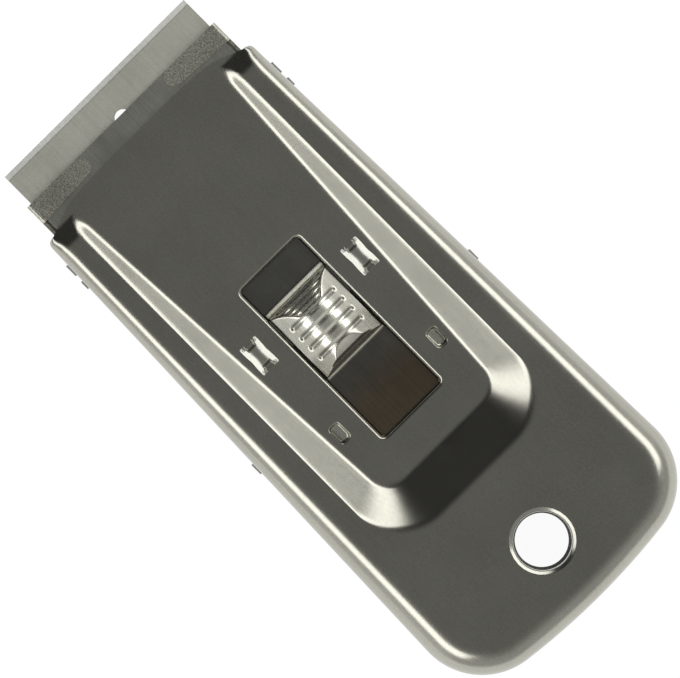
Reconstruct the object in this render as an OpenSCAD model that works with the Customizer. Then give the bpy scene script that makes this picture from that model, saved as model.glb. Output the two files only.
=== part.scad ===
/* [Body] */
// Length of the pressed body, from the middle of its front lip to its rear end
body_len = 99; // [94:0.2:104]
// Width of the body at its rear corners
rear_w = 48.2; // [46.6:0.1:52]
// Height of the body at its rear end
rear_h = 9.2; // [8.6:0.1:10.4]
// Radius of the rear corners, seen from above
corner_r = 11.2; // [9:0.1:14]
// Thickness of the pressed steel sheet
sheet = 0.6; // [0.5:0.05:0.7]

/* [Recess] */
// Height of the sunken floor that the thumb rests on
floor_top = 4.5; // [4.5:0.05:4.8]
// Distance from the front lip to the rear end of the sunken floor
recess_len = 65.7; // [64:0.1:68]
// Length of the ramp from the floor's rear end up to the rails
ramp_len = 7.4; // [5:0.1:9]
// Width of the slot in the floor
slot_w = 12.3; // [12.1:0.1:13]

/* [Slider] */
// Length of the ribbed thumb button
button_len = 14; // [12:0.1:15]
// Height of the button above the slider plate
button_h = 4.2; // [3.4:0.1:5]
// Radius of the button's crown, seen from its end
crown_r = 7.2; // [6.5:0.1:9]
// Ribs across the button
button_ribs = 5; // [4:1:7]
// Travel from the working position back to the blade hidden in the body
travel_back = 11.5; // [11:0.1:12.4]
// Travel from the working position forward to the blade change position
travel_forward = 5; // [4:0.1:5.2]

/* [Blade] */
// Width of the blade along its cutting edge
blade_w = 38.1; // [36:0.1:38.3]
// Depth of the blade from its cutting edge to its back
blade_depth = 19; // [18:0.1:19.6]
// How far the cutting edge stands ahead of the front lip
blade_reach = 9.3; // [7:0.1:9.4]

/* [Hanging hole] */
// Diameter of the hole through the base plate
hole_d = 8.2; // [7:0.1:9]
// Distance from the hole's middle to the rear end
hole_end = 12.1; // [11:0.1:13]

/* [Hidden] */
$fn = 48;
HULL_FN = 30;
EPS = 0.01;

// Places are given as the distance behind the middle of the front lip, and x runs forward.
lip_x = (body_len + blade_reach) / 2 - blade_reach;

// Clearances
slide_gap = 0.15;
side_gap = 0.35;
tray_gap = 0.4;
head_gap = 0.5;
stop_gap = 0.1;
fit_gap = 0.05;

// Width of the body's mouth: the blade, the tray's walls, the base plate's rim and the sheet
wall_t = 0.5;
rim_t = 0.5;
base_gap = 0.1;
tray_hw = blade_w / 2 + side_gap + wall_t;
front_w = 2 * (tray_hw + tray_gap + rim_t + base_gap + sheet);

// Body: a wedge that rises from low shoulders behind the lip to the rear end
lip_bow_r = 120;
shoulder_s = 6;
shoulder_h = floor_top + 1.3;
shoulder_r = 3;
shoulder_edge = 2;
tip_s = 1;
tip_r = 1.2;
ramp_s = 2;
rear_bow = 0.8;
rear_edge = 3.7;
rear_s = body_len - rear_bow - corner_r;
rear_y = rear_w / 2 - corner_r;
rail_slope = (rear_h - shoulder_h) / (body_len - rear_edge - shoulder_s);
rail_angle = atan(rail_slope);
floor_under = floor_top - sheet;

// The front ramps, from floor level at ramp_s up to the shoulders
ramp_top_s = shoulder_s - shoulder_r + shoulder_edge;
ramp_slope = (rail_z(ramp_top_s) - floor_top) / (ramp_top_s - ramp_s);
tip_z = floor_top - ramp_slope * (ramp_s - tip_s + tip_r);

// Recess outlines, at floor level and at rail level
floor_front_s = 1;
floor_front_hw = 15.4;
floor_rear_hw = 12;
floor_r = 4;
rim_front_s = 6.5;
rim_hw = 17;
rim_front_r = 1;
rim_r = 9;
rim_rise = 0.12;
recess_wall = 1.3 * sheet;

// Slot, stop lances and clinched tabs
slot_front_s = 28.1;
button_s = 33.5;
slot_rear_s = button_s + button_len + travel_back + stop_gap;
slot_r = 0.7;
lance_s = 53.8;
lance_y = 10.3;
lance_l = 3.4;
lance_w = 1.9;
lance_drop = 0.9;
lance_gap = 0.3;
lance_root = 0.4;
clinch_s = 37;
clinch_y = 10.7;
clinch_l = 5.3;
clinch_w = 3.25;
clinch_h = 0.35;
clinch_notch = 0.5;
clinch_r = 0.4;
clinch_waist = 0.25;
clinch_waist_r = 1;
tab_l = 4;
tab_w = 1.4;

// Hanging hole
hole_s = body_len - hole_end;
throat_r = hole_d / 2 + 0.35;
hole_lip = 0.75;
collar_depth = 2.4;
base_collar_h = 1.2;

// Base plate
base_t = 0.6;
rim_h = 2;
rim_front = 3;
lip_setback = 1.5;
lock_spans = [[6.8, 8.9], [10.1, 11.6], [47.9, 49.9]];
lock_z = [0.9, 1.7];
lock_proud = 0.25;

// Levels of the stacked sheets inside the body
slider_t = 0.5;
ear_t = 0.5;
slider_top = floor_under - slide_gap - ear_t;
slider_z = slider_top - slider_t;
tray_t = 0.5;
spine_t = 0.76;
spine_gap = 0.07;
tray_top = slider_z - spine_t - 2 * spine_gap;
tray_z = tray_top - tray_t;
blade_t = 0.23;
blade_mid_z = (slider_z + tray_top) / 2;

// Slider plate, tray and rivets
holder_s = -3.6;
holder_rear_s = 21.5;
head_hw = tray_hw - wall_t - head_gap;
neck_hw = 5.9;
tail_s = lance_s + lance_l / 2 + travel_forward + stop_gap;
tail_l = 3.6;
tail_hw = 11.8;
ear_l = 11.5;
ear_w = 2.9;
ear_root_w = 4;
rivet_r = 1.2;
rivet_head_r = 1.9;
rivet_head_h = 0.25;
rivet_y = 9;
rivet_s = blade_depth - blade_reach + rivet_head_r + stop_gap;
tail_rivet_r = 0.8;
tail_rivet_head_r = 1.4;
tail_rivet_s = tail_s + tail_l / 2;

// Button: ribs between two shares of its length, a sloping front and a steep rear
rib_from = 0.24;
rib_to = 0.89;
rib_h = 0.3;
crown_fall = 0.9;
button_front = 4.6;
button_rear = 1.7;

// Guide strap under the slider's neck
strap_t = 0.5;
strap_l = 5.2;
strap_top = slider_z - slide_gap;
leg_t = 0.6;

// Detent spring under the slider's tail
spring_t = 0.3;
spring_w = 7;
spring_flat = 3;
spring_reach = 8;
spring_tip = 2.4;
spring_curl = 0.8;
spring_foot = base_t + slide_gap;

// Blade
bevel_w = 0.8;
blade_hole_d = 2.6;
blade_hole_in = 6.25;
blade_hole_s = blade_hole_in - blade_reach;
blade_notch_r = 2.2;
spine_w = 4.8;
spine_fold = 0.4;
edge_t = 0.04;

function at(s) = lip_x - s;
function half_w(s) = (front_w + (rear_w - front_w) * (s - tip_s) / (rear_s - tip_s)) / 2;
function rail_z(s) = shoulder_h + rail_slope * (s - shoulder_s);
function arc(x, y, r, from, to, n) =
    [for (i = [0:n]) let (a = from + (to - from) * i / n) [x + r * cos(a), y + r * sin(a)]];

// Half of the body's outline seen from above, from the front corner to the middle of the rear end.
function half_outline(inset) = concat(
    [[at(tip_s), half_w(tip_s) - inset]],
    arc(at(rear_s), rear_y, corner_r - inset, 90, 180, 16),
    [[at(body_len - inset), 0]]);
function mirrored(points) = [for (i = [len(points) - 1:-1:0]) [points[i][0], -points[i][1]]];
function outline(inset) = let (half = half_outline(inset)) concat(half, mirrored(half));

// Lays what is drawn about z = 0 on the sloping plane of the rails.
module on_rails() {
    multmatrix([[1, 0, 0, 0], [0, 1, 0, 0], [-rail_slope, 0, 1, rail_z(lip_x)]])
        children();
}

// The round cap of a post, with its top at a height and a foot disc far below it.
module cap(s, y, r, edge, top) {
    translate([at(s), y, top - edge])
        rotate_extrude($fn = HULL_FN)
            polygon(concat([[0, 0]], arc(r - edge, 0, edge, 0, 90, 6), [[0, edge]]));
}

module foot(s, y, r, z) {
    translate([at(s), y, z])
        cylinder(r = r, h = EPS, $fn = HULL_FN);
}

// The solid wedge of the body, drawn in all round by an inset and standing on a level.
module body_wedge(inset, level) {
    tip_y = half_w(tip_s) - tip_r;
    shoulder_y = half_w(shoulder_s) - shoulder_r;
    rear_posts = [[rear_s, -rear_y], [rear_s, rear_y], [body_len - corner_r, 0]];
    hull() {
        for (p = rear_posts) {
            on_rails()
                cap(p[0], p[1], corner_r - inset, rear_edge - inset, -inset);
            foot(p[0], p[1], corner_r - inset, level);
        }
        for (side = [-1, 1]) {
            on_rails()
                cap(shoulder_s, side * shoulder_y, shoulder_r - inset, shoulder_edge - inset, -inset);
            foot(shoulder_s, side * shoulder_y, shoulder_r - inset, level);
            foot(tip_s, side * tip_y, tip_r - inset, tip_z - inset - EPS);
            foot(tip_s, side * tip_y, tip_r - inset, level);
        }
    }
}

// A thin disc that lies along the rails, just above them, so that the walls cut through their plane.
module rail_disc(s, y, r) {
    translate([at(s), y, rail_z(s) + rim_rise])
        rotate([0, rail_angle, 0])
            cylinder(r = r, h = 0.3, $fn = HULL_FN);
}

// The sunken recess, from its floor up to the rails, grown by a wall.
module recess(grow, floor_z) {
    hull() for (side = [-1, 1]) {
        translate([at(floor_front_s), side * (floor_front_hw - 0.5), floor_z])
            cylinder(r = 0.5 + grow, h = EPS, $fn = HULL_FN);
        translate([at(recess_len - floor_r), side * (floor_rear_hw - floor_r), floor_z])
            cylinder(r = floor_r + grow, h = EPS, $fn = HULL_FN);
        rail_disc(rim_front_s, side * (rim_hw - rim_front_r), rim_front_r + grow);
        rail_disc(recess_len + ramp_len - rim_r, side * (rim_hw - rim_r), rim_r + grow);
    }
}

// A box between two distances behind the lip.
module slab(s0, s1, y0, y1, z0, z1) {
    translate([at(s1), y0, z0])
        cube([s1 - s0, y1 - y0, z1 - z0]);
}

// A rectangle with round corners, standing through a height.
module round_slab(s0, s1, hw, r, z0, z1) {
    slab(s0 + r, s1 - r, -hw, hw, z0, z1);
    slab(s0, s1, -hw + r, hw - r, z0, z1);
    for (s = [s0 + r, s1 - r], y = [-hw + r, hw - r])
        translate([at(s), y, z0])
            cylinder(r = r, h = z1 - z0);
}

// A side profile given in distance behind the lip and height, extruded across the body.
module across(profile, y0, y1) {
    translate([0, y1, 0])
        rotate([90, 0, 0])
            linear_extrude(y1 - y0)
                polygon([for (p = profile) [at(p[0]), p[1]]]);
}

// The floor's front lip, which lies level ahead of the ramps.
module lip_plate() {
    slab(-1, ramp_s + sheet, -half_w(tip_s) + sheet / 2, half_w(tip_s) - sheet / 2, floor_under, floor_top);
}

module shell_sheet() {
    lip_plate();
    difference() {
        body_wedge(0, 0);
        difference() {
            body_wedge(sheet, -1);
            recess(recess_wall, floor_under);
        }
        slab(-3, shoulder_s + 1, -half_w(tip_s) + sheet, half_w(tip_s) - sheet, -1, floor_under);
        recess(0, floor_top);
    }
}

// Places what is drawn about the hanging hole's axis, square to the rails.
module at_hole() {
    translate([at(hole_s), 0, rail_z(hole_s)])
        rotate([0, rail_angle, 0])
            children();
}

module hole_collar() {
    at_hole()
        translate([0, 0, -collar_depth])
            cylinder(r = throat_r + sheet, h = collar_depth - sheet / 2);
}

// The cutter of the hanging hole: a straight throat that flares to the top surface.
module hole_cut() {
    at_hole()
        rotate_extrude()
            polygon(concat([[0, -collar_depth - 1], [throat_r, -collar_depth - 1]],
                           arc(throat_r + hole_lip, -hole_lip, hole_lip, 180, 90, 6),
                           [[throat_r + hole_lip, 1], [0, 1]]));
}

module lance(y) {
    front = lance_s - lance_l / 2;
    rear = lance_s + lance_l / 2;
    across([[front - lance_root, floor_top], [front, floor_top], [rear, floor_top - lance_drop],
            [rear, floor_under - lance_drop], [front, floor_under], [front - lance_root, floor_under]],
           y - lance_w / 2, y + lance_w / 2);
}

module shell() {
    color("gray") {
        intersection() {
            difference() {
                union() {
                    shell_sheet();
                    hole_collar();
                }
                hole_cut();
                round_slab(slot_front_s, slot_rear_s, slot_w / 2, slot_r, floor_under - 1, floor_top + 1);
                for (side = [-1, 1]) {
                    slab(lance_s - lance_l / 2, lance_s + lance_l / 2 + lance_gap,
                         side * lance_y - lance_w / 2 - lance_gap / 2,
                         side * lance_y + lance_w / 2 + lance_gap / 2, floor_under - 1, floor_top + 1);
                    slab(clinch_s - tab_l / 2 - fit_gap, clinch_s + tab_l / 2 + fit_gap,
                         side * clinch_y - tab_w / 2 - fit_gap, side * clinch_y + tab_w / 2 + fit_gap,
                         floor_under - 1, floor_top + 1);
                    for (span = lock_spans)
                        translate([0, side * front_w / 2, 0])
                            slab(span[0] - fit_gap, span[1] + fit_gap, -2, 2,
                                 lock_z[0] - fit_gap, lock_z[1] + fit_gap);
                }
            }
            translate([at(lip_bow_r), 0, -1])
                cylinder(r = lip_bow_r, h = rear_h + 2, $fn = 256);
        }
        for (side = [-1, 1])
            lance(side * lance_y);
    }
}

module base_plate() {
    inset = sheet + base_gap;
    color("darkgray")
        difference() {
            union() {
                linear_extrude(base_t)
                    polygon(outline(inset));
                linear_extrude(rim_h)
                    difference() {
                        polygon(outline(inset));
                        polygon(outline(inset + rim_t));
                        translate([at(tip_s + rim_front), -front_w])
                            square(2 * front_w);
                    }
                for (side = [-1, 1], span = lock_spans) {
                    reach = half_w(span[1]) + lock_proud;
                    mirror([0, side < 0 ? 1 : 0, 0])
                        slab(span[0], span[1], half_w(span[0]) - inset - rim_t / 2, reach,
                             lock_z[0], lock_z[1]);
                }
                translate([at(hole_s), 0, 0])
                    cylinder(r = hole_d / 2 + base_t, h = base_collar_h);
            }
            translate([at(hole_s), 0, -1])
                cylinder(d = hole_d, h = base_collar_h + 2);
            translate([at(lip_bow_r), 0, -1])
                difference() {
                    cylinder(r = lip_bow_r + body_len, h = 2 * rim_h, $fn = 128);
                    translate([0, 0, -1])
                        cylinder(r = lip_bow_r - lip_setback, h = 2 * rim_h + 2, $fn = 256);
                }
        }
}

module guide_strap() {
    leg_out = clinch_y + leg_t / 2;
    color("dimgray") {
        slab(clinch_s - strap_l / 2, clinch_s + strap_l / 2, -leg_out, leg_out,
             strap_top - strap_t, strap_top);
        for (side = [-1, 1]) {
            slab(clinch_s - strap_l / 2, clinch_s + strap_l / 2, side * clinch_y - leg_t / 2,
                 side * clinch_y + leg_t / 2, strap_top - EPS, floor_under);
            slab(clinch_s - tab_l / 2, clinch_s + tab_l / 2, side * clinch_y - tab_w / 2,
                 side * clinch_y + tab_w / 2, floor_under - EPS, floor_top + clinch_h / 2);
            translate([0, side * clinch_y, 0])
                clinch_head();
        }
    }
}

// A tab peened flat above the floor, notched at both ends and pinched in at its waist.
module clinch_head() {
    difference() {
        round_slab(clinch_s - clinch_l / 2, clinch_s + clinch_l / 2, clinch_w / 2, clinch_r,
                   floor_top, floor_top + clinch_h);
        for (end = [-1, 1])
            slab(clinch_s + end * clinch_l / 2 - clinch_notch, clinch_s + end * clinch_l / 2 + clinch_notch,
                 -clinch_w / 4, clinch_w / 4, floor_top + clinch_h / 2, floor_top + 1);
        for (side = [-1, 1])
            translate([at(clinch_s), side * (clinch_w / 2 - clinch_waist + clinch_waist_r), floor_top - 1])
                cylinder(r = clinch_waist_r, h = 3);
    }
}

// Radius of the ribbed crown at a share of the button's length, which falls towards the rear.
function crown_at(t) = let (rib = (t - rib_from) / (rib_to - rib_from))
    crown_r - crown_fall * max(0, t - rib_from) + (rib < 0 || rib > 1 ? 0
    : rib_h / 2 * (1 - cos(360 * button_ribs * rib)));

// The button: a ribbed crown turned about the slide's axis, cut to a sloping front and a steep rear.
module button() {
    steps = 8 * button_ribs;
    intersection() {
        translate([at(button_s), 0, slider_top + button_h - crown_r])
            rotate([0, -90, 0])
                rotate_extrude()
                    polygon(concat([[0, 0]],
                                   [for (i = [0:steps]) [crown_at(i / steps), button_len * i / steps]],
                                   [[0, button_len]]));
        across([[button_s, slider_top - EPS], [button_s + button_front, slider_top + button_h + rib_h],
                [button_s + button_len - button_rear, slider_top + button_h + rib_h],
                [button_s + button_len, slider_top - EPS]], -neck_hw, neck_hw);
    }
}

module thumb_slider() {
    color("silver")
        difference() {
            union() {
                slab(holder_s, holder_rear_s, -head_hw, head_hw, slider_z, slider_top);
                slab(holder_rear_s - EPS, tail_s + EPS, -neck_hw, neck_hw, slider_z, slider_top);
                slab(tail_s, tail_s + tail_l, -tail_hw, tail_hw, slider_z, slider_top);
                button();
            }
            for (side = [-1, 1])
                translate([at(rivet_s), side * rivet_y, slider_z - 1])
                    cylinder(r = rivet_r + fit_gap, h = 3);
            translate([at(tail_rivet_s), 0, slider_z - 1])
                cylinder(r = tail_rivet_r + fit_gap, h = 3);
        }
}

// One ear of the tray, folded over the slider's head, which narrows to a round inner end.
module ear() {
    inner = tray_hw - ear_l;
    r = ear_w / 2;
    translate([0, 0, slider_top])
        linear_extrude(ear_t)
            polygon(concat([[at(holder_s), tray_hw]], arc(at(holder_s + r), inner + r, r, 0, -180, 12),
                           [[at(holder_s + ear_root_w), tray_hw]]));
}

module blade_tray() {
    color("dimgray")
        difference() {
            union() {
                slab(holder_s, holder_rear_s, -tray_hw, tray_hw, tray_z, tray_top);
                for (side = [0, 1])
                    mirror([0, side, 0]) {
                        slab(holder_s, holder_rear_s, tray_hw - wall_t, tray_hw, tray_z, slider_z);
                        slab(holder_s, holder_s + ear_root_w, tray_hw - wall_t, tray_hw,
                             tray_z, slider_top + ear_t);
                        ear();
                    }
            }
            translate([at(blade_hole_s), 0, tray_z - 1])
                cylinder(r = blade_notch_r, h = 2.4);
            for (side = [-1, 1])
                translate([at(rivet_s), side * rivet_y, tray_z - 1])
                    cylinder(r = rivet_r + fit_gap, h = 3);
        }
}

// A rivet with a head at both ends and a shoulder between the sheets it holds.
module rivet(s, y, r, head_r, bottom, top) {
    translate([at(s), y, bottom - rivet_head_h])
        cylinder(r = head_r, h = rivet_head_h);
    translate([at(s), y, bottom - rivet_head_h])
        cylinder(r = r, h = top - bottom + 2 * rivet_head_h);
    translate([at(s), y, top])
        cylinder(r = head_r, h = rivet_head_h);
}

module slider_rivets() {
    color("gainsboro") {
        for (side = [-1, 1]) {
            rivet(rivet_s, side * rivet_y, rivet_r, rivet_head_r, tray_z, slider_top);
            translate([at(rivet_s), side * rivet_y, tray_top])
                cylinder(r = rivet_head_r, h = slider_z - tray_top);
        }
        rivet(tail_rivet_s, 0, tail_rivet_r, tail_rivet_head_r, slider_z - spring_t, slider_top);
    }
}

module detent_spring() {
    top = slider_z;
    bend_s = tail_s - spring_flat;
    foot_s = bend_s - spring_reach;
    tip = foot_s - spring_tip;
    color("slategray")
        difference() {
            across([[tail_s + tail_l, top], [bend_s, top], [foot_s, spring_foot + spring_t],
                    [tip, spring_foot + spring_t + spring_curl], [tip, spring_foot + spring_curl],
                    [foot_s, spring_foot], [bend_s, top - spring_t], [tail_s + tail_l, top - spring_t]],
                   -spring_w / 2, spring_w / 2);
            translate([at(tail_rivet_s), 0, slider_z - 1])
                cylinder(r = tail_rivet_r + fit_gap, h = 2);
        }
}

module blade() {
    z0 = blade_mid_z - blade_t / 2;
    z1 = blade_mid_z + blade_t / 2;
    edge = -blade_reach;
    back = edge + blade_depth - spine_fold;
    color("lightgray")
        difference() {
            across([[edge, blade_mid_z + edge_t / 2], [edge + bevel_w, z1], [back, z1],
                    [back, z0], [edge + bevel_w, z0], [edge, blade_mid_z - edge_t / 2]],
                   -blade_w / 2, blade_w / 2);
            translate([at(blade_hole_s), 0, z0 - 1])
                cylinder(d = blade_hole_d, h = 3);
        }
}

module blade_spine() {
    rear = blade_depth - blade_reach;
    z0 = blade_mid_z - spine_t / 2;
    z1 = blade_mid_z + spine_t / 2;
    color("gray")
        difference() {
            slab(rear - spine_w, rear, -blade_w / 2, blade_w / 2, z0, z1);
            slab(rear - spine_w - 1, rear - spine_fold, -blade_w, blade_w,
                 blade_mid_z - blade_t / 2, blade_mid_z + blade_t / 2);
        }
}

shell();
base_plate();
guide_strap();
thumb_slider();
blade_tray();
slider_rivets();
detent_spring();
blade();
blade_spine();
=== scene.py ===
"""The looks of a razor blade scraper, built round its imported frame.

Shapes are worked out in millimetres as s, y and z, where s is the distance behind the middle of the front
lip. Angles that are kept as sizes are in degrees.
"""

import logging
import math
from collections.abc import Callable
from dataclasses import dataclass, field
from enum import Enum
from functools import partial

import bmesh
import bpy
import numpy as np
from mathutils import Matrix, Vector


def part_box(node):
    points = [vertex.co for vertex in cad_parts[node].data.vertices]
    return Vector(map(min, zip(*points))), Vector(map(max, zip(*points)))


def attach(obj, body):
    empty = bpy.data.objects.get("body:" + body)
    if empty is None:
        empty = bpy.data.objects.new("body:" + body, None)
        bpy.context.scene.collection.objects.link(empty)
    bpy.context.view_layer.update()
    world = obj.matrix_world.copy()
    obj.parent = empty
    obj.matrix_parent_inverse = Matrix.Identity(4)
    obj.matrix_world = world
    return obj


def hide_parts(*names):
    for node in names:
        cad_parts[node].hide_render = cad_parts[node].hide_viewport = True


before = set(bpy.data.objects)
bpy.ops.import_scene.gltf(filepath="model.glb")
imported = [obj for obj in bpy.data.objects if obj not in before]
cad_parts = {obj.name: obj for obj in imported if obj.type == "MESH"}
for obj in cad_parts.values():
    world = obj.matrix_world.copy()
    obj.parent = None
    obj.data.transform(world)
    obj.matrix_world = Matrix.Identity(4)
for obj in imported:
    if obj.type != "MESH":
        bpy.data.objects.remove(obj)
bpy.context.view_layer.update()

MM = 0.001
TINY = 1e-9
WELD = 2e-6
SLIVER = 1e-7
PHOTO_SIZE = (680, 678)
FOLD_ANGLE = 40.0
WINDOW_RINGS = 5
LIP_X = float(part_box("shell")[1][0]) / MM
LOG = logging.getLogger("scraper")

Array = np.ndarray
Mesh = bpy.types.Mesh
Piece = bpy.types.Object
Material = bpy.types.Material
Socket = bpy.types.NodeSocket
Block = tuple[slice, slice]
Pair = tuple[float, float]
Triple = tuple[float, float, float]
Stops = tuple[tuple[float, Triple], ...]
Fade = tuple[float, float, Pair]


class Body(Enum):
    """The moving bodies of the frame that a piece can ride on."""

    HOUSING = "housing"
    SLIDER = "slider"
    BLADE = "blade"


class Axis(Enum):
    """An axis of the frame."""

    X = 0
    Y = 1
    Z = 2


def smooth_min(a: Array, b: Array, reach: float) -> Array:
    """Takes the lower of two heights and rounds the crease between them.

    With h = 1/2 + (b - a) / (2 reach), held between 0 and 1, the height is
    b (1 - h) + a h - reach h (1 - h).

    Args:
        a: One height.
        b: The other height.
        reach: How far apart the heights are where the rounding starts.

    Returns:
        The blended height.
    """
    share = np.clip(0.5 + 0.5 * (b - a) / reach, 0.0, 1.0)
    return b * (1 - share) + a * share - reach * share * (1 - share)


def smooth_max(a: Array, b: Array, reach: float) -> Array:
    """Takes the higher of two heights and rounds the crease between them."""
    return -smooth_min(-a, -b, reach)


def smooth_step(low: float, high: float, value: Array) -> Array:
    """Rises from 0 to 1 between two values along the cubic t t (3 - 2 t)."""
    t = np.clip((value - low) / (high - low), 0.0, 1.0)
    return t * t * (3 - 2 * t)


def round_start(way: Array) -> Array:
    """Grows from 0 to 1 as a quarter circle does: the root of 1 - (1 - way)^2."""
    return np.sqrt(1 - np.clip(1 - way, 0, 1) ** 2)


def bell(value: Array, width: float) -> Array:
    """Falls off on both sides of 0 along the bell curve e^-(value / width)^2."""
    return np.exp(-(value / width) ** 2)


def straight(start: Array, end: Array | float, share: Array) -> Array:
    """Goes straight from start to end: start (1 - share) + end share."""
    return start * (1 - share) + end * share


def between(start: Array, end: Array, steps: int) -> Array:
    """Gives rows of points on the straight way between two rows, without those two."""
    return straight(start, end, np.linspace(0.0, 1.0, steps + 2)[1:-1, None, None])


def bezier(start: Array, corner: Array, end: Array, steps: int) -> Array:
    """Rounds a corner with a quadratic curve.

    A point is (1 - t)^2 start + 2 t (1 - t) corner + t^2 end.

    Args:
        start: Points where the rounding starts, one per column.
        corner: The sharp corner points.
        end: Points where the rounding ends.
        steps: Points along the curve.

    Returns:
        An array of steps x columns x 3.
    """
    t = np.linspace(0.0, 1.0, steps)[:, None, None]
    return (1 - t) ** 2 * start + 2 * t * (1 - t) * corner + t ** 2 * end


def quarter(steps: int) -> Array:
    """Gives the angles of a quarter turn in equal steps."""
    return np.linspace(0, math.pi / 2, steps)


def heading(angle: Array) -> Array:
    """Gives the unit vector at each angle."""
    return np.stack([np.cos(angle), np.sin(angle)], -1)


def bearing(points: Array, centre: Array) -> Array:
    """Gives the angle at which each point lies in plan, as seen from a centre."""
    return np.arctan2(points[:, 1] - centre[1], points[:, 0] - centre[0])


def mirrored(half: Array, flip: Pair) -> Array:
    """Joins a run of points that ends on the axis with its mirror image, taken backwards."""
    return np.concatenate([half, half[-2::-1] * np.array(flip)])


def level_run(places: Array, z: float) -> Array:
    """Gives each place across the same height."""
    return np.stack([places, np.full_like(places, z)], -1)


def lift(plan: Array, z: Array | float) -> Array:
    """Gives points of a plan a height, which is one number or one per point."""
    return np.concatenate([plan, np.broadcast_to(z, plan.shape[:1])[:, None]], -1)


def unit(vectors: Array) -> Array:
    """Scales each vector to a length of one."""
    return vectors / np.maximum(np.linalg.norm(vectors, axis=-1, keepdims=True), TINY)


def rounded_box_loop(half_l: float, half_w: float, radius: float, angle: Array) -> Array:
    """Finds where rays at given angles leave a rectangle with round corners.

    Along a ray, the distance is the smaller of the two side crossings, or the corner circle's crossing
    where both sides are beyond the start of the corner.

    Args:
        half_l: Half of the size along the first axis.
        half_w: Half of the size along the second axis.
        radius: Radius of the corners.
        angle: Angles of the rays.

    Returns:
        An array of rays x 2.
    """
    ray = heading(angle)
    size = np.array([half_l, half_w])
    reach = (size / np.maximum(np.abs(ray), TINY)).min(-1)
    point = ray * reach[:, None]
    core = size - radius
    in_corner = (np.abs(point) > core).all(-1)
    along = np.abs(ray) @ core
    root = np.sqrt(np.maximum(along ** 2 - core @ core + radius ** 2, 0.0))
    return np.where(in_corner[:, None], ray * (along + root)[:, None], point)


def channel(half_w: float, bottom: float, bend: float, inset: float, leg_z: Array, flat_y: Array,
            steps: int) -> Array:
    """Draws the section of a folded channel: a leg, a quarter bend, a flat bottom, and the same mirrored.

    Args:
        half_w: Half of the outer width.
        bottom: Height of the outer bottom.
        bend: Outer radius of the bends.
        inset: How far inside the outer skin this one lies.
        leg_z: Heights of the leg's points.
        flat_y: Places of the bottom's points, from the bend to the axis.
        steps: Points round a bend.

    Returns:
        The section as (y, z), from the +Y leg to the other.
    """
    radius, turn = bend - inset, quarter(steps)
    leg = np.stack([np.full_like(leg_z, half_w - inset), leg_z], -1)
    corner = np.stack([half_w - bend + radius * np.cos(turn), bottom + bend - radius * np.sin(turn)], -1)
    return mirrored(np.concatenate([leg, corner, level_run(flat_y, bottom + inset)]), (-1.0, 1.0))


def grid_faces(rows: int, columns: int, wrap_rows: bool = False, wrap_columns: bool = False) -> Array:
    """Numbers the four corners of every cell of a grid of points.

    Args:
        rows: Rows of points.
        columns: Columns of points.
        wrap_rows: Whether the last row joins the first.
        wrap_columns: Whether the last column joins the first.

    Returns:
        An array of cells x 4.
    """
    r = np.arange(rows if wrap_rows else rows - 1)[:, None]
    c = np.arange(columns if wrap_columns else columns - 1)[None, :]
    r1, c1 = (r + 1) % rows, (c + 1) % columns
    corners = [r * columns + c, r * columns + c1, r1 * columns + c1, r1 * columns + c]
    return np.stack([np.broadcast_to(k, (r.size, c.size)) for k in corners], -1).reshape(-1, 4)


@dataclass
class Patchwork:
    """Grids of points in s, y and z that are gathered into one mesh."""

    points: list[Array] = field(default_factory=list)
    faces: list[Array] = field(default_factory=list)
    count: int = 0

    def add(self, grid: Array, wrap_rows: bool = False, wrap_columns: bool = False,
            keep: Array | None = None) -> None:
        """Adds a grid of points as quads.

        Args:
            grid: An array of rows x columns x 3.
            wrap_rows: Whether the last row joins the first.
            wrap_columns: Whether the last column joins the first.
            keep: Which cells to keep, or none for all of them.
        """
        rows, columns = grid.shape[:2]
        faces = grid_faces(rows, columns, wrap_rows, wrap_columns)
        if keep is not None:
            faces = faces[keep.ravel()]
        self.points.append(grid.reshape(-1, 3))
        self.faces.append(faces + self.count)
        self.count += rows * columns

    def add_sheet(self, outer: Array, inner: Array) -> None:
        """Adds a sheet of metal between two skins, with strips that close its four edges.

        Args:
            outer: One skin as rows x columns x 3.
            inner: The other skin, with as many points.
        """
        for skin in (outer, inner):
            self.add(skin)
        for edge in (np.s_[0], np.s_[-1], np.s_[:, 0], np.s_[:, -1]):
            self.add(np.stack([outer[edge], inner[edge]]))

    def add_window(self, grid: Array, block: Block, shape: Callable[[Array], Array]) -> None:
        """Fills a block of a grid with rings that lead from its border to an opening or a dimple.

        Args:
            grid: The grid that the block was left out of.
            block: The block's rows and columns of points.
            shape: Works out the opening's own rings from the border's points.
        """
        border = block_border(grid[block])
        rim = shape(border)
        rings = np.concatenate([border[None], between(border, rim[0], WINDOW_RINGS), rim])
        self.add(rings, wrap_columns=True)

    def mesh(self, name: str, closed: bool, sharp: float = FOLD_ANGLE) -> Mesh:
        """Welds the grids into one mesh in metres.

        Args:
            name: Name of the mesh.
            closed: Whether the faces enclose a volume, so that they can be turned outwards by it.
            sharp: Angle from which an edge stays sharp.

        Returns:
            The finished mesh.
        """
        mesh = bpy.data.meshes.new(name)
        points = np.concatenate(self.points) * MM
        points[:, 0] = LIP_X * MM - points[:, 0]
        mesh.from_pydata(points.tolist(), [], np.concatenate(self.faces).tolist())
        work = bmesh.new()
        work.from_mesh(mesh)
        bmesh.ops.remove_doubles(work, verts=work.verts, dist=WELD)
        bmesh.ops.dissolve_degenerate(work, edges=work.edges, dist=SLIVER)
        if closed:
            bmesh.ops.recalc_face_normals(work, faces=work.faces)
        work.to_mesh(mesh)
        work.free()
        mesh.shade_smooth()
        mesh.set_sharp_from_angle(angle=math.radians(sharp))
        return mesh


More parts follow.
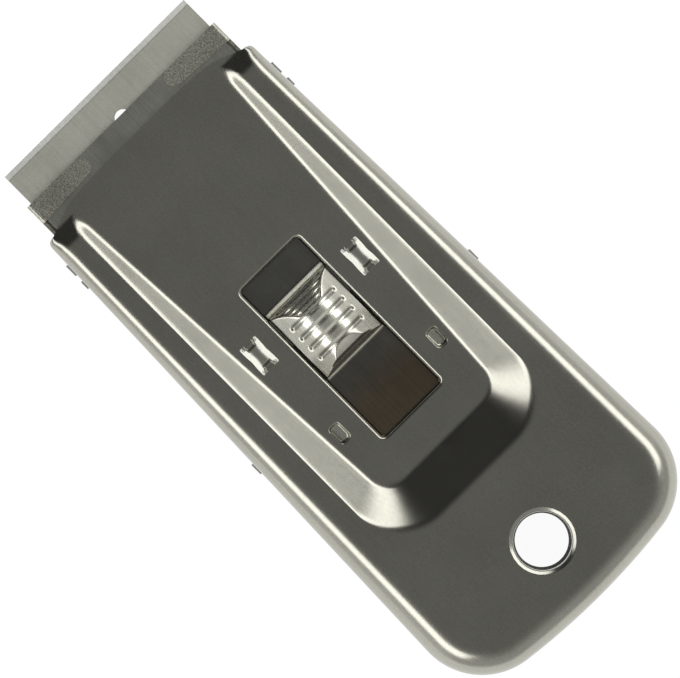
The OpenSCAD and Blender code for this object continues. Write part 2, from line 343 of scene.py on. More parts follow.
def block_border(block: Array) -> Array:
    """Lists the points round a block of a grid, once each and in order."""
    return np.concatenate([block[0, :-1], block[:-1, -1], block[-1, :0:-1], block[:0:-1, 0]])


def span_of(inside: Array, margin: int = 1) -> slice:
    """Gives the run from the first true place to the last, widened by a margin at each end."""
    places = np.flatnonzero(inside)
    return slice(int(places[0]) - margin, int(places[-1]) + 1 + margin)


def drop_block(keep: Array, block: Block) -> None:
    """Marks the cells of a block of points as left out."""
    keep[block[0].start:block[0].stop - 1, block[1].start:block[1].stop - 1] = False


def middle_columns(section: Array, row: int, reach: float) -> slice:
    """Finds the columns round the middle of the rear whose y lies within a reach.

    Args:
        section: The pressing's stations and columns.
        row: The station to look at.
        reach: The largest y to either side.

    Returns:
        The columns.
    """
    middle = section.shape[1] // 2
    at_rear = np.abs(np.arange(section.shape[1]) - middle) < middle // 2
    return span_of((np.abs(section[row, :, 1]) < reach) & at_rear, 0)


def block_round(grid: Array, centre: Array, reach: Pair) -> Block:
    """Finds the smallest block of a grid that holds a rectangle.

    Args:
        grid: The points.
        centre: The rectangle's centre as (s, y).
        reach: Half of its size along s and along y.

    Returns:
        The block's rows and columns of points.
    """
    inside = (np.abs(grid[..., :2] - centre) < np.array(reach)).all(-1)
    return span_of(inside.any(1)), span_of(inside.any(0))


def upward(mesh: Mesh) -> None:
    """Turns an open pressed surface so that its floor faces up.

    Args:
        mesh: The surface.
    """
    work = bmesh.new()
    work.from_mesh(mesh)
    bmesh.ops.recalc_face_normals(work, faces=work.faces)
    flat = max(work.faces, key=lambda face: face.calc_area() * abs(face.normal.z))
    if flat.normal.z < 0:
        bmesh.ops.reverse_faces(work, faces=work.faces)
    work.to_mesh(mesh)
    work.free()


def into_scene(name: str, data: bpy.types.ID) -> bpy.types.Object:
    """Puts a mesh, lamp or camera into the scene.

    Args:
        name: Name of the object.
        data: What it holds.

    Returns:
        The new object.
    """
    made = bpy.data.objects.new(name, data)
    bpy.context.scene.collection.objects.link(made)
    return made


def place(mesh: Mesh, body: Body, slot: str, material: Material, *nodes: str) -> Piece:
    """Puts a mesh into the scene as a piece of the scraper.

    Args:
        mesh: The piece's mesh.
        body: The body that it moves with.
        slot: A material slot's name, which is not used.
        material: Its finish.
        nodes: The CAD nodes that it stands for.

    Returns:
        The new object.
    """
    piece = into_scene(mesh.name, mesh)
    mesh.materials.append(material)
    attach(piece, body.value)
    if nodes:
        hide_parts(*nodes)
    LOG.info("%s: %d faces, rides on %s", piece.name, len(mesh.polygons), body.value)
    return piece


def thicken(piece: Piece, thickness: float) -> None:
    """Gives a pressed surface the thickness of its sheet, inwards, with crisp cut edges.

    Args:
        piece: The surface.
        thickness: The sheet in millimetres.
    """
    wall = piece.modifiers.new("sheet", "SOLIDIFY")
    wall.thickness = thickness * MM
    wall.offset = -1.0
    wall.use_rim = True
    solid = bpy.data.meshes.new_from_object(piece.evaluated_get(bpy.context.evaluated_depsgraph_get()))
    piece.modifiers.clear()
    solid.name = piece.data.name
    piece.data = solid
    solid.set_sharp_from_angle(angle=math.radians(FOLD_ANGLE))


def soften(piece: Piece, width: float, from_angle: float = 50.0) -> None:
    """Rounds the sharp edges of a cut sheet.

    Args:
        piece: The sheet.
        width: Width of the rounding in millimetres.
        from_angle: Angle from which an edge is rounded.
    """
    edge = piece.modifiers.new("edges", "BEVEL")
    edge.width = width * MM
    edge.segments = 2
    edge.limit_method = "ANGLE"
    edge.angle_limit = math.radians(from_angle)
    edge.harden_normals = True


class NodeBench:
    """Adds and links the nodes of one node tree."""

    def __init__(self, tree: bpy.types.NodeTree) -> None:
        """Takes over a tree and empties it."""
        self.tree = tree
        self.tree.nodes.clear()

    def add(self, kind: str, values: dict[str | int, object] | None = None,
            **settings: object) -> bpy.types.Node:
        """Adds a node.

        Args:
            kind: The node's type.
            values: Values for its input sockets.
            settings: Values for its own properties.

        Returns:
            The node.
        """
        made = self.tree.nodes.new(kind)
        for key, value in settings.items():
            setattr(made, key, value)
        for key, value in (values or {}).items():
            made.inputs[key].default_value = value
        return made

    def link(self, source: Socket, target: Socket) -> None:
        """Links an output to an input."""
        self.tree.links.new(source, target)

    def split(self, coordinates: str = "Object") -> bpy.types.NodeOutputs:
        """Splits coordinates into their three axes.

        Args:
            coordinates: Which coordinates to take. A piece's own are in metres.

        Returns:
            The outputs X, Y and Z.
        """
        parts = self.add("ShaderNodeSeparateXYZ")
        self.link(self.add("ShaderNodeTexCoord").outputs[coordinates], parts.inputs[0])
        return parts.outputs

    def noise(self, scale: float, detail: float, stretch: Triple = (1.0, 1.0, 1.0)) -> Socket:
        """Adds noise on the piece's own coordinates.

        Args:
            scale: Size of the noise, in cells per metre.
            detail: Layers of finer noise.
            stretch: Scale of the noise along each axis.

        Returns:
            The noise value's socket.
        """
        spot = self.add("ShaderNodeTexCoord")
        turn = self.add("ShaderNodeMapping", {"Scale": stretch})
        grain = self.add("ShaderNodeTexNoise", {"Scale": scale, "Detail": detail, "Roughness": 0.6})
        self.link(spot.outputs["Object"], turn.inputs["Vector"])
        self.link(turn.outputs["Vector"], grain.inputs["Vector"])
        return grain.outputs["Fac"]

    def weigh(self, value: Socket, low: float, high: float, span: Pair = (0.3, 0.7),
              smooth: bool = False) -> Socket:
        """Maps a value from one span to another.

        Args:
            value: The value's socket.
            low: The result at the start of the span.
            high: The result at its end.
            span: The span of the value.
            smooth: Whether the result eases in and out.

        Returns:
            The result's socket.
        """
        made = self.add("ShaderNodeMapRange",
                        {"From Min": span[0], "From Max": span[1], "To Min": low, "To Max": high},
                        interpolation_type="SMOOTHSTEP" if smooth else "LINEAR")
        self.link(value, made.inputs["Value"])
        return made.outputs["Result"]

    def sum(self, operation: str, a: Socket, b: Socket) -> Socket:
        """Joins two values with an arithmetic operation.

        Args:
            operation: The operation's name.
            a: The first value's socket.
            b: The second value's socket.

        Returns:
            The result's socket.
        """
        made = self.add("ShaderNodeMath", operation=operation)
        self.link(a, made.inputs[0])
        self.link(b, made.inputs[1])
        return made.outputs[0]

    def rays(self) -> tuple[Socket, Socket]:
        """Tells the kinds of light rays apart.

        Returns:
            A socket that is 1 for the eye's rays, and one that is 1 for those of shiny or clear surfaces.
        """
        path = self.add("ShaderNodeLightPath")
        shiny = self.sum("MAXIMUM", path.outputs["Is Glossy Ray"], path.outputs["Is Transmission Ray"])
        return path.outputs["Is Camera Ray"], shiny

    def blend(self, share: Socket, first: bpy.types.Node, last: bpy.types.Node) -> bpy.types.Node:
        """Mixes two shaders.

        Args:
            share: Where this is 1, the last shader shows.
            first: One shader.
            last: The other shader.

        Returns:
            The mix.
        """
        mix = self.add("ShaderNodeMixShader")
        self.link(share, mix.inputs["Fac"])
        self.link(first.outputs[0], mix.inputs[1])
        self.link(last.outputs[0], mix.inputs[2])
        return mix


def greys(*stops: Pair) -> Stops:
    """Turns places with one factor each into stops of a band that leaves the hue alone."""
    return tuple((at, (factor,) * 3) for at, factor in stops)


@dataclass(frozen=True)
class Band:
    """Colours along one axis, as places in millimetres and factors of a finish's tint: the steel's own tints,
    and painted light and shade.
    """

    axis: Axis
    stops: Stops

    def colour(self, bench: NodeBench) -> Socket:
        """Turns the place along the axis into a factor for the tint.

        Args:
            bench: The bench of the finish's node tree.

        Returns:
            The factor's socket.
        """
        first, last = self.stops[0][0], self.stops[-1][0]
        ramp = bench.add("ShaderNodeValToRGB")
        marks = ramp.color_ramp.elements
        for at, colour in self.stops[1:-1]:
            marks.new((at - first) / (last - first)).color = (*colour, 1.0)
        marks[0].color, marks[-1].color = (*self.stops[0][1], 1.0), (*self.stops[-1][1], 1.0)
        spot = bench.split()[self.axis.value]
        bench.link(bench.weigh(spot, 0.0, 1.0, (first * MM, last * MM)), ramp.inputs["Fac"])
        return ramp.outputs["Color"]


@dataclass(frozen=True)
class SteelFinish:
    """A steel surface: its tint, its gloss, its grain and the scratches along the slide."""

    name: str
    tint: Triple
    roughness: float
    gloss_swing: float = 0.03
    gloss_span: Pair = (-0.2, 0.2)
    tone_swing: float = 0.8
    mottle: float = 0.06
    mottle_scale: float = 90.0
    grain: float = 0.05
    grain_scale: float = 3600.0
    relief: float = 0.004
    relief_strength: float = 0.06
    scratches: float = 0.03
    scratch_scale: float = 2400.0
    scratch_span: Pair = (0.35, 0.65)
    scratch_stretch: Triple = (0.012, 1.0, 1.0)
    bands: tuple[Band, ...] = ()
    gloss_band: Band | None = None

    def material(self) -> Material:
        """Builds the finish from three layers of noise.

        Broad mottling, fine grain and stretched scratches are added up to a tone. One plus the tone scales
        the tint and its bands, and the tone also sets the gloss. The grain gives the relief.

        Returns:
            The material.
        """
        made = bpy.data.materials.new(self.name)
        made.use_nodes = True
        bench = NodeBench(made.node_tree)
        mottle = bench.weigh(bench.noise(self.mottle_scale, 3.0), -self.mottle, self.mottle)
        grain = bench.noise(self.grain_scale, 2.0)
        speck = bench.weigh(grain, -self.grain, self.grain)
        scratch = bench.weigh(bench.noise(self.scratch_scale, 2.0, self.scratch_stretch),
                              -self.scratches, self.scratches, self.scratch_span)
        tone = bench.sum("ADD", bench.sum("ADD", mottle, speck), scratch)
        colour = bench.add("ShaderNodeVectorMath", {0: self.tint}, operation="SCALE")
        bench.link(bench.weigh(tone, 1 - self.tone_swing, 1 + self.tone_swing,
                               (-self.tone_swing, self.tone_swing)), colour.inputs["Scale"])
        for band in self.bands:
            both = bench.add("ShaderNodeVectorMath", operation="MULTIPLY")
            bench.link(colour.outputs[0], both.inputs[0])
            bench.link(band.colour(bench), both.inputs[1])
            colour = both
        shader = bench.add("ShaderNodeBsdfPrincipled", {"Metallic": 1.0})
        bench.link(colour.outputs[0], shader.inputs["Base Color"])
        gloss = bench.weigh(tone, self.roughness - self.gloss_swing, self.roughness + self.gloss_swing,
                            self.gloss_span)
        if self.gloss_band:
            gloss = bench.sum("MULTIPLY", gloss, self.gloss_band.colour(bench))
        bench.link(gloss, shader.inputs["Roughness"])
        bump = bench.add("ShaderNodeBump", {"Strength": self.relief_strength, "Distance": self.relief * MM})
        bench.link(grain, bump.inputs["Height"])
        bench.link(bump.outputs["Normal"], shader.inputs["Normal"])
        bench.link(shader.outputs[0], bench.add("ShaderNodeOutputMaterial").inputs["Surface"])
        return made


@dataclass
class PressedShell:
    """The pressed steel body: flange, rails, sunken recess, slot, stop lances and hanging hole."""

    sheet: float = 0.6
    lip_sweep: float = 2.0
    lip_sweep_y: float = 20.6
    lip_fade: float = 12.0
    front_half_w: float = 21.5
    tip_s: float = 1.0
    tip_round: float = 1.0
    rear_s: float = 87.0
    rear_y: float = 12.9
    corner_r: float = 11.2
    rear_bow: float = 0.8
    floor_z: float = 4.5
    shoulder_s: float = 6.0
    shoulder_z: float = 5.8
    shoulder_blend: float = 0.22
    rail_slope: float = 0.03807
    ramp_start_s: float = 2.0
    ramp_slope: float = 0.42
    ramp_blend: float = 0.14
    bend_tip: float = 0.3
    bend_tip_len: float = 5.0
    bend_front: float = 2.55
    bend_front_s: float = 8.0
    bend_rear: float = 4.4
    floor_front_hw: float = 15.4
    floor_rear_hw: float = 12.0
    floor_rear_s: float = 61.7
    floor_r: float = 4.0
    rim_hw: float = 17.0
    rim_rear_s: float = 64.1
    rim_r: float = 9.0
    nose_start_s: float = 1.9
    nose_len: float = 3.3
    nose_gap: float = 0.02
    rim_fillet: float = 0.9
    floor_fillet: float = 0.7
    fillet_share: float = 0.45
    slot_front_s: float = 28.1
    slot_rear_s: float = 59.1
    slot_hw: float = 6.15
    slot_r: float = 0.7
    slot_edge: float = 0.6
    slot_throat: float = 0.2
    slot_taper: float = 0.17
    hole_s: float = 86.9
    hole_block: Pair = (6.6, 7.0)
    throat_r: float = 4.45
    throat_tilt: float = 84.0
    throat_from: float = 0.7
    hole_lip: float = 0.75
    lip_tilt: float = 29.0
    lip_ease: float = 0.22
    lip_crowding: float = 1.5
    collar_depth: float = 2.4
    lance_s: float = 53.8
    lance_y: float = 10.3
    lance_l: float = 3.6
    lance_w: float = 2.1
    lance_r: float = 0.7
    lance_dip: float = 0.5
    lance_drop: float = 0.35
    lance_drop_u: float = -0.7
    lance_slope: float = 0.325
    lance_lean: float = 0.26
    lance_lean_u: float = -0.5
    lance_wall: float = 0.68
    lance_core: float = 0.02
    lance_margin: Pair = (0.25, 0.15)
    tab_s: float = 37.0
    tab_y: float = 10.7
    tab_window: Pair = (4.6, 1.5)
    tab_window_r: float = 0.3
    tab_window_depths: tuple[float, ...] = (0.0, -0.15, -0.3)
    tab_margin: Pair = (0.2, 0.1)
    side_steps: tuple[int, int] = (48, 110)
    side_fine: float = 0.12
    corner_steps: int = 36
    rear_steps: int = 30
    fillet_steps: tuple[int, int] = (8, 10)
    wall_steps: int = 4
    rail_steps: int = 10
    flange_steps: int = 13
    skirt_steps: int = 3
    slot_corner_steps: int = 7
    slot_edge_steps: int = 7
    lip_steps: int = 26
    lance_steps: int = 18
    floor_rows: int = 26
    floor_split_s: float = 23.0

    def lip_s(self, y: Array) -> Array:
        """Gives the lip's place behind its middle, which grows with the fourth power of y."""
        return self.lip_sweep * (y / self.lip_sweep_y) ** 4

    def rail_z(self, s: Array) -> Array:
        """Gives the height of the rails: a short ramp behind the lip, then the sloping rail plane.

        Args:
            s: Places behind the lip.

        Returns:
            The height.
        """
        rail = self.shoulder_z + self.rail_slope * (s - self.shoulder_s)
        ramp = self.floor_z + self.ramp_slope * (s - self.ramp_start_s)
        upper = smooth_min(rail, ramp, self.shoulder_blend)
        return smooth_max(upper, np.full_like(s, self.floor_z), self.ramp_blend)

    def side_share(self) -> Array:
        """Spaces the columns of a long side, close together behind the lip.

        Returns:
            Shares of the side's length, from 0 to 1.
        """
        fine, coarse = self.side_steps
        return np.concatenate([np.linspace(0, self.side_fine, fine),
                               np.linspace(self.side_fine, 1, coarse)[1:]])

    def outline(self) -> tuple[Array, Array]:
        """Traces half of the outline from the lip to the middle of the rear end.

        A straight side, a corner arc and a flat rear arc follow each other with the same direction where
        they meet. The side's front tip is a quarter circle.

        Returns:
            The points as (s, y) and the outward normals.
        """
        lean = math.atan2(self.rear_y + self.corner_r - self.front_half_w, self.rear_s - self.tip_s)
        rear_arc = (self.rear_y ** 2 + self.rear_bow ** 2) / (2 * self.rear_bow)
        turn = math.asin(self.rear_y / rear_arc)
        normal = heading(np.linspace(-lean, math.pi / 2 - turn, self.corner_steps))[:, ::-1]
        corner = np.array([self.rear_s, self.rear_y]) + self.corner_r * normal
        front = np.array([self.lip_s(np.array(self.front_half_w)), self.front_half_w])
        side = straight(front, corner[0], self.side_share()[:, None])
        side[:, 1] -= self.tip_round * (1 - round_start((side[:, 0] - front[0]) / self.tip_round))
        rear_normal = heading(np.linspace(turn, 0, self.rear_steps))
        centre = np.array([self.rear_s - rear_arc + self.rear_bow, 0.0])
        rear = centre + (rear_arc + self.corner_r) * rear_normal
        rear[:, 0] += corner[-1, 0] - rear[0, 0]
        side_normal = np.broadcast_to(normal[0], side.shape)
        points = np.concatenate([side[:-1], corner, rear[1:]])
        normals = np.concatenate([side_normal[:-1], normal, rear_normal[1:]])
        return points, normals

    def half_edge(self, front: Pair, centre: Pair, radius: float, share: Array) -> Array:
        """Traces half of a recess or slot edge: a straight side, a corner arc and half of a straight rear.

        Args:
            front: Place of the side's front end as (s, y).
            centre: Place of the corner's centre as (s, y).
            radius: Radius of the corner.
            share: Spacing of the side's points, from 0 to 1.

        Returns:
            The points as (s, y).
        """
        corner = np.array(centre) + radius * heading(quarter(self.corner_steps))[:, ::-1]
        side = straight(np.array(front), corner[0], share[:, None])
        run = np.linspace(centre[1], 0, self.rear_steps)
        rear = level_run(run, centre[0] + radius)[:, ::-1]
        return np.concatenate([side[:-1], corner, rear[1:]])

    def recess_edges(self) -> tuple[Array, Array]:
        """Traces half of the recess's floor edge and half of its rim.

        In front, the rim closes on to the floor edge in a nose that widens as a quarter circle does.

        Returns:
            The floor edge and the rim as (s, y), each with as many points as the outline.
        """
        front_s = float(self.lip_s(np.array(self.floor_front_hw)))
        floor = self.half_edge((front_s, self.floor_front_hw),
                               (self.floor_rear_s, self.floor_rear_hw - self.floor_r),
                               self.floor_r, self.side_share())
        rim = self.half_edge((front_s, self.rim_hw), (self.rim_rear_s, self.rim_hw - self.rim_r),
                             self.rim_r, self.side_share())
        widen = round_start((rim[:, 0] - self.nose_start_s) / self.nose_len)
        closed = floor[:, 1] + self.nose_gap + (rim[:, 1] - floor[:, 1] - self.nose_gap) * widen
        rim[:, 1] = np.where(rim[:, 0] < self.rim_rear_s, closed, rim[:, 1])
        return floor, rim

    def half_section(self) -> Array:
        """Works out the right half of the pressing as stations across and columns along.

        From the floor, the surface turns up a wall, over a rim fillet on to the rail, and round the flange's
        quarter bend down to the ground. The bend's radius grows from the tip and again to the rear.

        Returns:
            An array of stations x columns x 3, with s, y and z.
        """
        outer, normal = self.outline()
        floor, rim = self.recess_edges()
        s_outer = outer[:, 0]
        bend = self.bend_tip + (self.bend_front - self.bend_tip) * round_start(
            (s_outer - s_outer[0]) / self.bend_tip_len)
        bend += (self.bend_rear - self.bend_front) * np.clip(
            (s_outer - self.bend_front_s) / (self.rear_s - self.bend_front_s), 0, 1)
        crease = outer - bend[:, None] * normal

        low, high = lift(floor, self.floor_z), lift(rim, self.rail_z(rim[:, 0]))
        start = lift(crease, self.rail_z(crease[:, 0]))
        wall = np.linalg.norm(high - low, axis=-1)[:, None]
        up = unit(high - low)
        level = lift(unit(rim - floor), 0.0)
        low_r = np.minimum(self.floor_fillet, self.fillet_share * wall)
        high_r = np.minimum(self.rim_fillet, self.fillet_share * wall)
        past = lift(rim + high_r * unit(crease - rim), 0.0)
        past[:, 2] = self.rail_z(past[:, 0])
        rail = between(past, start, self.rail_steps)
        rail[..., 2] = self.rail_z(rail[..., 0])
        angle = quarter(self.flange_steps)[:, None, None]
        out, rise = lift(normal, 0.0)[None], np.array([0.0, 0.0, 1.0])
        turn = start + bend[:, None] * (np.sin(angle) * out - (1 - np.cos(angle)) * rise)
        foot = turn[-1:].copy()
        foot[..., 2] = 0.0
        low_steps, high_steps = self.fillet_steps
        return np.concatenate([bezier(low - low_r * level, low, low + low_r * up, low_steps),
                               between(low + low_r * up, high - high_r * up, self.wall_steps),
                               bezier(high - high_r * up, high, past, high_steps), rail, turn,
                               between(turn[-1], foot[0], self.skirt_steps), foot])

    def both_halves(self, half: Array) -> Array:
        """Mirrors the half columns, so that they run from the +Y lip round the rear to the -Y lip."""
        return np.concatenate([half, half[:, -2::-1] * np.array([1.0, -1.0, 1.0])], 1)

    def slot_loop(self, grow: float, z: float, side_count: int) -> Array:
        """Traces the slot's outline in step with the loop that bounds the floor.

        Args:
            grow: How far outside the slot the loop runs.
            z: Its height.
            side_count: Points along a straight side.

        Returns:
            The points, starting at the +Y side's front end, as an array of columns x 3.
        """
        radius, inner = self.slot_r + grow, self.slot_hw - self.slot_r
        s0, s1 = self.slot_front_s + self.slot_r, self.slot_rear_s - self.slot_r
        half = self.half_edge((s0, inner + radius), (s1, inner), radius, np.linspace(0, 1, side_count))
        corner = np.array([s0, -inner]) - radius * heading(quarter(self.slot_corner_steps))[:, ::-1]
        run = np.linspace(-inner, inner, 2 * self.rear_steps - 1)
        front = level_run(run, s0 - radius)[:, ::-1]
        other_corner = corner[::-1] * np.array([1.0, -1.0])
        plan = np.concatenate([mirrored(half, (1.0, -1.0)), corner[1:], front[1:-1], other_corner[:-1]])
        return lift(plan, z)

    def slot_edges(self, side_count: int) -> Array:
        """Rounds the slot's edge over in a quarter circle and carries it on into a short throat.

        The throat's ends draw together towards the slot's middle.

        Args:
            side_count: Points along a straight side.

        Returns:
            The loops, from the floor down.
        """
        edge = np.stack([self.slot_loop(self.slot_edge * (1 - math.sin(angle)),
                                        self.floor_z - self.slot_edge * (1 - math.cos(angle)), side_count)
                         for angle in quarter(self.slot_edge_steps)])
        throat = edge[-1] - np.array([0.0, 0.0, self.slot_throat])
        middle = (self.slot_front_s + self.slot_rear_s) / 2
        throat[:, 0] += (middle - throat[:, 0]) * 2 * self.slot_taper / (self.slot_rear_s - self.slot_front_s)
        return np.concatenate([edge, throat[None]])

    def floor_front(self, edge: Array, split: int) -> Array:
        """Lays the front of the floor in rows across, from the lip to the split.

        A row joins the same place on both edges. The lip's sweep fades out over the first rows.

        Args:
            edge: The floor's edge from the +Y lip round the rear to the -Y lip.
            split: Number of the edge point where the front ends.

        Returns:
            The rows, each from the -Y edge to the +Y edge.
        """
        count = 2 * self.slot_corner_steps + 2 * self.rear_steps - 3
        share = np.linspace(-1, 1, count)
        s, half = edge[:split + 1, :1], edge[:split + 1, 1:2]
        fade = np.clip(1 - (s - s[0]) / self.lip_fade, 0, 1)
        y = half * share
        return np.stack([s + fade * (self.lip_s(half[0] * share) - self.lip_s(half[0])), y,
                         np.full_like(y, self.floor_z)], -1)

    def hole_rim(self, border: Array) -> Array:
        """Draws the hanging hole's lip, from the rail plane into a straight throat.

        The lip's tilt eases in to the flare's tilt, keeps it, and then steepens to the throat. The depth
        adds up the tilt's tangent over the way inwards.

        Args:
            border: The points round the block of the rail that holds the hole.

        Returns:
            The rings from the lip to the throat's end.
        """
        centre = np.array([self.hole_s, 0.0, 0.0])
        ray = lift(heading(bearing(border, centre)), 0.0)
        inward = 1 - np.linspace(1, 0, self.lip_steps) ** self.lip_crowding
        tilt = (self.lip_tilt * smooth_step(0.0, self.lip_ease, inward)
                + (self.throat_tilt - self.lip_tilt) * smooth_step(self.throat_from, 1.0, inward))
        fall = np.tan(np.radians(tilt))
        sunk = np.cumsum((fall[1:] + fall[:-1]) / 2 * np.diff(inward))
        depth = self.hole_lip * np.concatenate([[0.0], sunk])
        reach = (self.throat_r + self.hole_lip * (1 - inward))[:, None, None]
        rim = centre + reach * ray
        rim[..., 2] = self.rail_z(rim[..., 0]) - depth[:, None]
        throat = rim[-1:].copy()
        throat[..., 2] -= self.collar_depth - self.hole_lip
        return np.concatenate([rim, between(rim[-1], throat[0], 2), throat])

    def lance_rim(self, border: Array, side: int) -> Array:
        """Presses a stop lance down from the floor, in rings that shrink to its middle.

        With u from -1 at the front end to 1 at the rear, the dip drops by about a third of its depth behind
        the front end, slopes down to the rear and leans outwards. It rises again in round walls at both
        sides and the rear.

        Args:
            border: The points round the block of floor that holds the lance.
            side: 1 for the +Y lance and -1 for the other.

        Returns:
            The rings.
        """
        centre = np.array([self.lance_s, side * self.lance_y, self.floor_z])
        size = np.array([self.lance_l, self.lance_w]) / 2
        plan = rounded_box_loop(size[0], size[1], self.lance_r, bearing(border, centre))
        share = np.linspace(1, self.lance_core, self.lance_steps)[:, None, None]
        rings = share * plan
        u, v = np.moveaxis(rings / size, -1, 0)
        slope = self.lance_drop * smooth_step(-1.0, self.lance_drop_u, u) + self.lance_slope * (u + 1)
        lean = self.lance_lean * (1 + side * v) * smooth_step(-1.0, self.lance_lean_u, u)
        dip = smooth_step(1.0, self.lance_wall, share[..., 0]) * (self.lance_dip * slope + lean)
        return np.concatenate([rings, -dip[..., None]], -1) + centre

    def tab_rim(self, border: Array, side: int) -> Array:
        """Cuts the window that a strap's tab comes up through, straight down from the floor.

        Args:
            border: The points round the block of floor that holds the window.
            side: 1 for the +Y window and -1 for the other.

        Returns:
            The rings.
        """
        centre = np.array([self.tab_s, side * self.tab_y, self.floor_z])
        plan = rounded_box_loop(self.tab_window[0] / 2, self.tab_window[1] / 2, self.tab_window_r,
                                bearing(border, centre))
        return np.stack([lift(plan, depth) for depth in self.tab_window_depths]) + centre

    def build(self, finish: Material) -> Piece:
        """Sews the pressing together and gives it its thickness.

        Args:
            finish: The body's steel.

        Returns:
            The shell.
        """
        work = Patchwork()
        section = self.both_halves(self.half_section())
        columns = section.shape[1]
        rows = span_of(np.abs(section[:, columns // 2, 0] - self.hole_s) < self.hole_block[0])
        hole = (rows, middle_columns(section, rows.start, self.hole_block[1]))
        keep = np.ones((section.shape[0] - 1, columns - 1), bool)
        drop_block(keep, hole)
        work.add(section, keep=keep)
        work.add_window(section, hole, self.hole_rim)

        split = int(np.argmax(section[0, :, 0] > self.floor_split_s))
        front = self.floor_front(section[0], split)
        work.add(front)
        outer = np.concatenate([section[0, split:columns - split], front[-1, 1:-1]])
        edge = self.slot_edges(sum(self.side_steps) - 1 - split)
        floor = np.concatenate([outer[None], between(outer, edge[0], self.floor_rows), edge[:1]])
        keep = np.ones((floor.shape[0] - 1, floor.shape[1]), bool)
        dimples = ((self.lance_s, self.lance_y, (self.lance_l, self.lance_w), self.lance_margin,
                    self.lance_rim),
                   (self.tab_s, self.tab_y, self.tab_window, self.tab_margin, self.tab_rim))
        for side in (1, -1):
            for s, y, size, margin, shape in dimples:
                reach = (size[0] / 2 + margin[0], size[1] / 2 + margin[1])
                block = block_round(floor, np.array([s, side * y]), reach)
                drop_block(keep, block)
                work.add_window(floor, block, partial(shape, side=side))
        work.add(floor, wrap_columns=True, keep=keep)
        work.add(edge, wrap_columns=True)
        mesh = work.mesh("pressed_shell", False)
        upward(mesh)
        piece = place(mesh, Body.HOUSING, "body_steel", finish, "shell")
        thicken(piece, self.sheet)
        return piece


